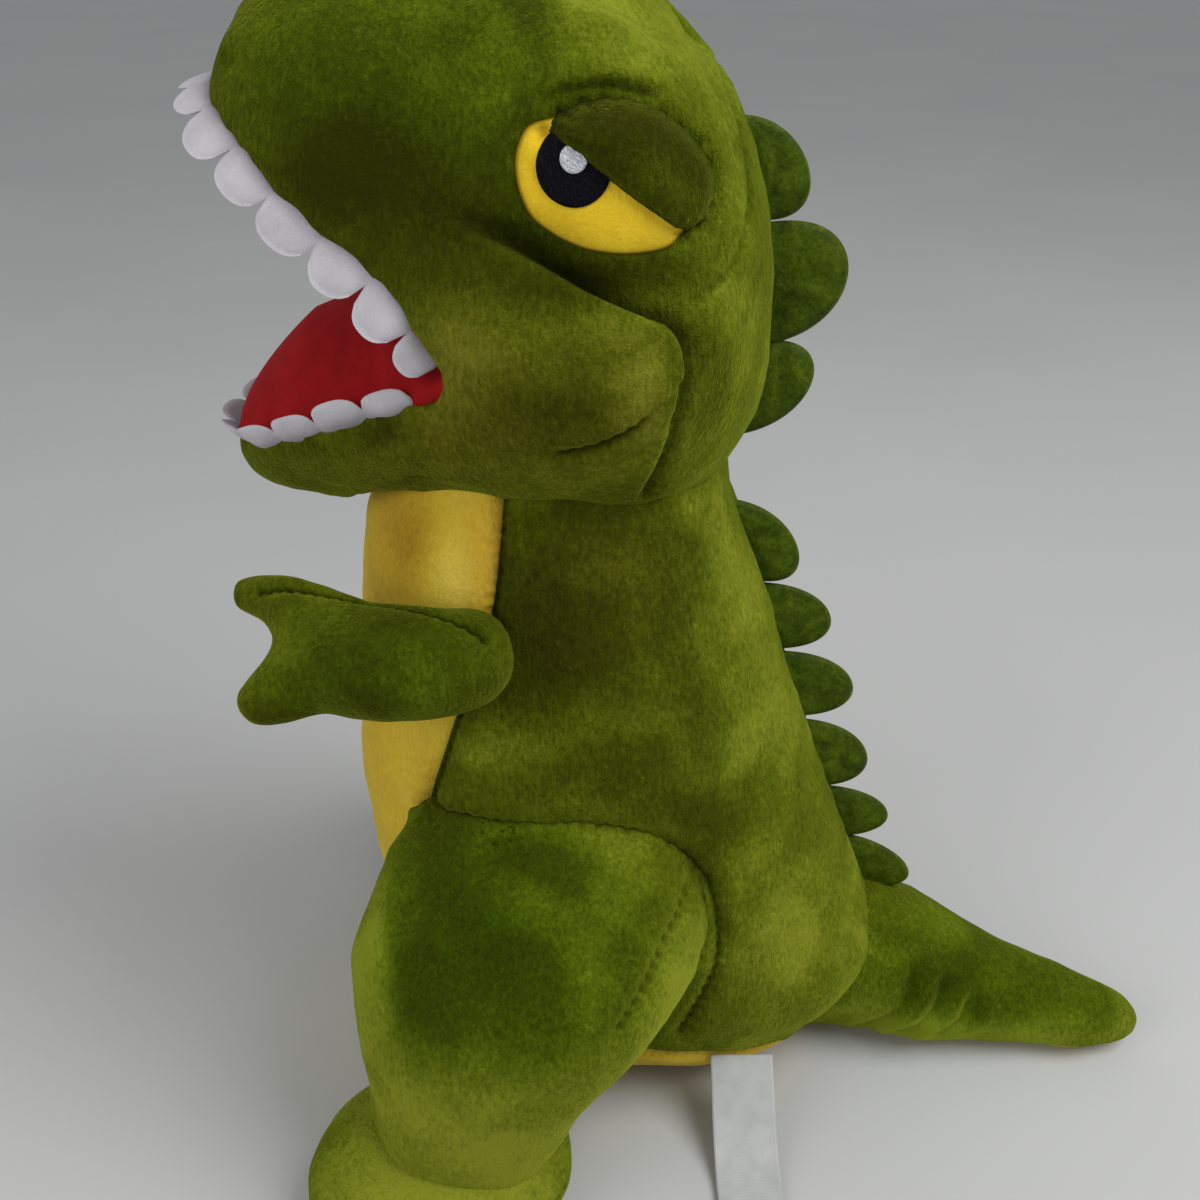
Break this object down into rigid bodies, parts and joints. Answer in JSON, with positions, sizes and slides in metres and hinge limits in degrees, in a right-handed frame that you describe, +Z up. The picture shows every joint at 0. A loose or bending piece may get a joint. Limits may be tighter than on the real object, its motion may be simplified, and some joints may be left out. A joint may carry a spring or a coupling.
{
  "type": "stuffed dinosaur",
  "caption": "Upright plush dinosaur with a big open-mouthed head, felt teeth, padded spikes, yellow belly, stub arms and a tail.",
  "frame": {"origin": "on the floor under the torso, at the middle of the base's width", "axes": "+Z up, the toy faces -Y, its left side is +X"},
  "size_m": [0.2592, 0.3328, 0.384],
  "materials": {
    "green_plush": "matte",
    "spike_plush": "matte",
    "yellow_plush": "matte",
    "red_felt": "matte",
    "white_felt": "matte",
    "black_thread": "satin",
    "white_thread": "satin",
    "label_satin": "satin",
    "fibre": "matte"
  },
  "bodies": {
    "torso": {"torso_back_cover": "green_plush", "belly_panel": "yellow_plush", "torso_filling": "fibre", "leg_cover_left": "green_plush", "leg_cover_right": "green_plush", "leg_filling_left": "fibre", "leg_filling_right": "fibre", "foot_cover_left": "green_plush", "foot_cover_right": "green_plush", "foot_filling_left": "fibre", "foot_filling_right": "fibre", "back_spike_1": "spike_plush", "back_spike_2": "spike_plush", "back_spike_3": "spike_plush", "back_spike_4": "spike_plush", "back_spike_5": "spike_plush", "back_spike_6": "spike_plush", "care_label": "label_satin"},
    "head": {"face_cover": "green_plush", "head_back_cover": "green_plush", "head_filling": "fibre", "mouth_lining": "red_felt", "upper_teeth": "white_felt", "lower_teeth": "white_felt", "eye_patch_left": "yellow_plush", "eye_patch_right": "yellow_plush", "pupil_left": "black_thread", "pupil_right": "black_thread", "eye_glint_left": "white_thread", "eye_glint_right": "white_thread", "eyelid_left": "green_plush", "eyelid_right": "green_plush", "head_spike_1": "spike_plush", "head_spike_2": "spike_plush", "head_spike_3": "spike_plush"},
    "left_arm": {"arm_cover_left": "green_plush", "arm_filling_left": "fibre"},
    "right_arm": {"arm_cover_right": "green_plush", "arm_filling_right": "fibre"},
    "tail": {"tail_cover": "green_plush", "tail_underside_panel": "yellow_plush", "tail_filling": "fibre"}
  },
  "joints": [
    {"name": "neck_turn", "type": "hinge", "parent": "torso", "child": "head", "pos_m": [0, -0.012, 0.2385], "axis": [0, 0, 1], "range_deg": [-25, 25], "stiffness_Nm_per_rad": 0.3},
    {"name": "left_shoulder_swing", "type": "hinge", "parent": "torso", "child": "left_arm", "pos_m": [0.062, -0.034, 0.203], "axis": [1, 0, 0], "range_deg": [-5, 35], "stiffness_Nm_per_rad": 0.12},
    {"name": "right_shoulder_swing", "type": "hinge", "parent": "torso", "child": "right_arm", "pos_m": [-0.062, -0.034, 0.203], "axis": [1, 0, 0], "range_deg": [-5, 35], "stiffness_Nm_per_rad": 0.12},
    {"name": "tail_wag", "type": "hinge", "parent": "torso", "child": "tail", "pos_m": [0, 0.098, 0.032], "axis": [0, 0, 1], "range_deg": [-18, 18], "stiffness_Nm_per_rad": 0.15}
  ]
}
